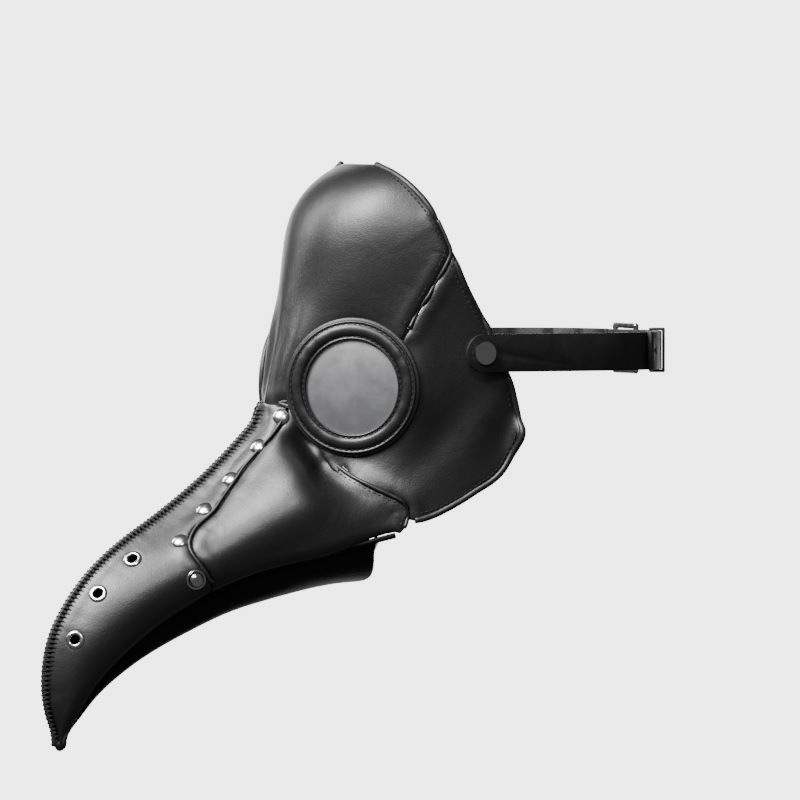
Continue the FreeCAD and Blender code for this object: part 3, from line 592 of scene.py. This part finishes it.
# ---- seams: folded edges, lips, lacing and stitches
seamLook = {"fold": 1.05, "stitch": {"pitch": 3.0, "length": 2.2, "width": 0.8, "height": 0.6, "lift": 0.3},
            "inset": 3.4, "lip": 1.5}


def mirrored(line):
    return [Vector((-p.x, p.y, p.z)) for p in line]


def spacedLine(line, step):
    return smoothLine(line[::3] + ([line[-1]] if (len(line) - 1) % 3 else []), step * mm)


def insetLine(line, normals, amount):
    """The line moved sideways over the skin."""
    moved = []
    for k, (point, normal) in enumerate(zip(line, normals)):
        way = line[min(k + 1, len(line) - 1)] - line[max(k - 1, 0)]
        moved.append(point + way.cross(normal).normalized() * (amount * mm))
    return moved


def drop(line, tree):
    found = []
    for point in line:
        near = tree.find_nearest(point)
        found.append(near[0] if near[0] is not None else point)
    return found


def pair(name, build, material, slotName):
    """Builds the left piece and its mirror image."""
    for side in ("left", "right"):
        bm = build()
        if side == "right":
            mirrorMesh(bm)
        finishPiece(name + "_" + side, bm, material, "mask")


def foldAlong(key, tree, radius, lift, shift=0.0, flatten=0.75):
    line = spacedLine(seams[key], 1.5)
    normals = skinNormals(line, tree)
    line = insetLine(line, normals, shift)
    return lambda: curveMesh([p + n * (lift * mm) for p, n in zip(line, normals)], radius * mm)


def stitchesAlong(key, tree, inset, look=seamLook["stitch"]):
    line = spacedLine(seams[key], look["pitch"])
    normals = skinNormals(line, tree)
    line = drop(insetLine(line, normals, inset), tree)

    def build():
        bm = bmesh.new()
        stitchRow(bm, line, normals, look)
        return bm
    return build


def spanAlong(key, tree, radius, lift, shift, first, last):
    """A folded edge along part of a seam, between two shares of its length."""
    whole = spacedLine(seams[key], 1.5)
    line = whole[int(first * len(whole)):int(last * len(whole))]
    normals = skinNormals(line, tree)
    line = insetLine(line, normals, shift)
    return lambda: curveMesh([p + n * (lift * mm) for p, n in zip(line, normals)], radius * mm)


pair("stripFold", foldAlong("strip", sideTree, 0.85, 0.5, -0.5), edgeLeather, "leather_trim")
pair("browPiping", foldAlong("brow", faceTree, 1.0, 0.1), edgeLeather, "leather_trim")
pair("rimBinding", foldAlong("rim", faceTree, 1.8, -0.9), edgeLeather, "leather_trim")
pair("cheekTopFold", foldAlong("cheekTop", sideTree, 1.1, 0.1, 0.4), edgeLeather, "leather_trim")
pair("lowerLip", spanAlong("lower", sideTree, 1.3, 1.0, 0.3, 0.0, 0.5), edgeLeather, "leather_trim")
pair("lowerEdge", spanAlong("lower", sideTree, 1.5, 0.6, 0.0, 0.5, 1.0), gussetLeather, "leather_trim")
pair("browStitchesA", stitchesAlong("brow", faceTree, 3.2), thread, "thread")
pair("browStitchesB", stitchesAlong("brow", faceTree, -3.2), thread, "thread")
pair("cheekTopStitches", stitchesAlong("cheekTop", sideTree, 2.8), thread, "thread")
pair("lowerStitches", stitchesAlong("lower", sideTree, 3.4), thread, "thread")
pair("rimStitches", stitchesAlong("rim", faceTree, 3.6), thread, "thread")

# The forehead's hem laps down over the beak at the bridge, in one piece from eyepiece to eyepiece.
hemLook = {"radius": 1.15, "lift": 0.6, "stitchUp": 3.2}
half = spacedLine(seams["bridge"], 1.2)
hem = mirrored(half)[::-1] + half[1:]
hemOut = [Vector((p.x * 8, -1.0 * 0.06, 0.0)).normalized() for p in hem]
finishPiece("bridgeHem", curveMesh([p + n * (hemLook["lift"] * mm) for p, n in zip(hem, hemOut)], hemLook["radius"] * mm),
            edgeLeather, "mask")
finishPiece("throatBinding", curveMesh(smoothLine([Vector(p) * mm for p in throat], 2 * mm), 1.7 * mm), edgeLeather,
            "mask")

# The ridge is closed by a dense zig-zag of thread that reaches down both sides of a narrow band.
lacingLook = {"pitch": 2.4, "reach": 5.0, "radius": 0.5, "lift": 0.35, "band": 1.4, "bandLift": 1.9, "roof": 50.0}
line = spacedLine(seams["ridge"], lacingLook["pitch"] / 2)
ridgeUps = []
for k in range(len(line)):
    way = (line[min(k + 1, len(line) - 1)] - line[max(k - 1, 0)]).normalized()
    ridgeUps.append(Vector((1, 0, 0)).cross(way).normalized())
if ridgeUps[len(ridgeUps) // 2].z < 0:
    ridgeUps = [-up for up in ridgeUps]
crown = [p + up * (lacingLook["bandLift"] * mm) for p, up in zip(line, ridgeUps)]
finishPiece("ridgeBand", curveMesh(crown, lacingLook["band"] * mm), edgeLeather, "mask",
            ["ridge_lacing"])
roof = math.radians(lacingLook["roof"])
for side in ("left", "right"):
    zigzag = []
    for k, (point, up) in enumerate(zip(crown, ridgeUps)):
        if k % 2:
            zigzag.append(point + up * ((lacingLook["band"] + 0.2) * mm))
            continue
        down = Vector((math.sin(roof), 0, 0)) - up * math.cos(roof)
        out = Vector((math.cos(roof), 0, 0)) + up * math.sin(roof)
        reach = lacingLook["reach"] * min(1.0, 0.3 + k / 50) * mm
        shoulder = point + down * (reach * 0.45) + out * (1.5 * mm)
        foot = sideTree.find_nearest(point + down * reach + out * (2 * mm))
        brow = sideTree.find_nearest(shoulder)
        zigzag.append(brow[0] + brow[1] * (0.8 * mm))
        zigzag.append(foot[0] + foot[1] * (lacingLook["lift"] * mm))
        zigzag.append(brow[0] + brow[1] * (0.8 * mm) + (line[min(k + 1, len(line) - 1)] - line[k]) * 0.3)
    bm = curveMesh(zigzag, lacingLook["radius"] * mm, sides=1)
    if side == "right":
        mirrorMesh(bm)
    finishPiece("ridgeLacing_" + side, bm, thread, "mask")

# The two sides, the band and the gusset are drawn together in a stitched tip.
tipLook = {"place": (0, -221.2, -186.4), "way": (0, 2.1, 8.3), "narrow": 0.72}
tipProfile = [(0.0, 2.4), (2.4, 2.2), (3.2, 1.2), (3.4, 0.0), (3.0, -1.2), (2.1, -2.4), (1.0, -3.2), (0.0, -3.5)]
bm = bmesh.new()
lathe(bm, tipProfile, frameOn(Vector(tipLook["place"]) * mm, Vector(tipLook["way"]), Vector((1, 0, 0))), 32)
closeLathe(bm)
bmesh.ops.scale(bm, vec=(tipLook["narrow"], 1, 1), verts=bm.verts)
finishPiece("tipCap", bm, coated, "mask")
print("seams made")

# ---- strap, buckle and keeper
strapLook = {"bevel": 0.5, "pitch": 3.2}
for name, body in (("strap_left", "harness"), ("strap_right", "harness"), ("strap_keeper", "keeper")):
    bm = mergedCopy(name)
    bmesh.ops.dissolve_limit(bm, angle_limit=math.radians(2), verts=bm.verts, edges=bm.edges)
    sharp = [edge for edge in bm.edges if len(edge.link_faces) == 2 and edge.calc_face_angle() > math.radians(50)]
    bmesh.ops.bevel(bm, geom=sharp, offset=strapLook["bevel"] * mm, offset_type="OFFSET", segments=2, profile=0.5,
                    affect="EDGES", clamp_overlap=True, material=-1)
    piece = finishPiece(name + "Leather", bm, strapLeather, body, [name])
    piece.data.shade_auto_smooth(angle=math.radians(40)) if hasattr(piece.data, "shade_auto_smooth") else None
for name in ("buckle_frame", "buckle_prong"):
    nodes[name].data.materials.clear()
    nodes[name].data.materials.append(buckleNickel)
print("strap made")

# ---- stage, light and camera
stageLook = {"back": 7.6, "width": 7.0, "azimuth": 64.0}
facing = math.radians(stageLook["azimuth"])
towards = Vector((math.sin(facing), -math.cos(facing), 0))
bm = bmesh.new()
bmesh.ops.create_grid(bm, x_segments=1, y_segments=1, size=stageLook["width"] / 2,
                      matrix=frameOn(towards * -stageLook["back"], towards))
sweepMesh = bpy.data.meshes.new("wall")
bm.to_mesh(sweepMesh)
bm.free()
sweep = bpy.data.objects.new("wall", sweepMesh)
bpy.context.collection.objects.link(sweep)
paper, tree, shader, where = newMaterial("paperSweep")
shader.inputs["Base Color"].default_value = hexColour("#f4f4f4")
shader.inputs["Roughness"].default_value = 1.0
shader.inputs["Specular IOR Level"].default_value = 0.0
shader.inputs["Emission Color"].default_value = hexColour("#ffffff")
shader.inputs["Emission Strength"].default_value = 4.0
sweepMesh.materials.append(paper)

world = bpy.data.worlds.new("studio")
bpy.context.scene.world = world
world.use_nodes = True
world.node_tree.nodes["Background"].inputs["Color"].default_value = hexColour("#f2f3f5")
world.node_tree.nodes["Background"].inputs["Strength"].default_value = 0.1

cameraLook = {"azimuth": 64.0, "elevation": 1.5, "distance": 7.0, "width": 0.424, "target": (-0.0092, -0.0190, -0.0085)}


def areaLight(name, place, target, size, power):
    data = bpy.data.lights.new(name, "AREA")
    data.shape = "RECTANGLE"
    data.size, data.size_y = size
    data.energy = power
    made = bpy.data.objects.new(name, data)
    bpy.context.collection.objects.link(made)
    made.location = place
    made.rotation_euler = (Vector(target) - Vector(place)).to_track_quat("-Z", "Y").to_euler()
    return made


areaLight("keyLight", (0.25, -1.2, 1.25), (0, -0.10, -0.04), (0.8, 0.8), 80)
areaLight("cheekLight", (1.3, -0.9, 1.1), (0, -0.08, -0.04), (0.3, 0.3), 12)
areaLight("ridgeLight", (-0.9, -1.0, 0.8), (0, -0.14, -0.08), (0.3, 0.9), 12)

azimuth = math.radians(cameraLook["azimuth"])
elevation = math.radians(cameraLook["elevation"])
back = Vector((math.sin(azimuth) * math.cos(elevation), -math.cos(azimuth) * math.cos(elevation), math.sin(elevation)))
lens = bpy.data.cameras.new("camera")
lens.sensor_width = 36
lens.lens = 36 * cameraLook["distance"] / cameraLook["width"]
camera = bpy.data.objects.new("camera", lens)
bpy.context.collection.objects.link(camera)
camera.location = Vector(cameraLook["target"]) + back * cameraLook["distance"]
camera.rotation_euler = back.to_track_quat("Z", "Y").to_euler()
bpy.context.scene.camera = camera
print("stage made")
